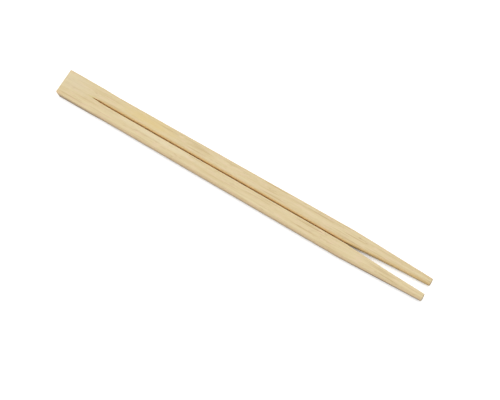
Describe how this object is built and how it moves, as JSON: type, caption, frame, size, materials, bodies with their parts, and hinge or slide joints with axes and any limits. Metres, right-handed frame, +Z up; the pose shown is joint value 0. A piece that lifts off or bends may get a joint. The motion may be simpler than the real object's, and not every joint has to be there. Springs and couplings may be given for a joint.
{
  "type": "joined pair of chopsticks",
  "caption": "Flat strip of bamboo sawn into a pair of eating sticks that stay joined at the head, with milled round edges and tapered blunt tips.",
  "frame": {"origin": "middle of the pair's footprint, on the surface it lies on", "axes": "+X along the pair from the joined head to the tips, +Y across the pair, +Z up through the thickness"},
  "size_m": [0.21, 0.0154, 0.0045],
  "materials": {
    "bamboo": "bare bamboo, planed smooth, satin"
  },
  "bodies": {
    "root": {"chopsticks": "bamboo"}
  },
  "joints": []
}
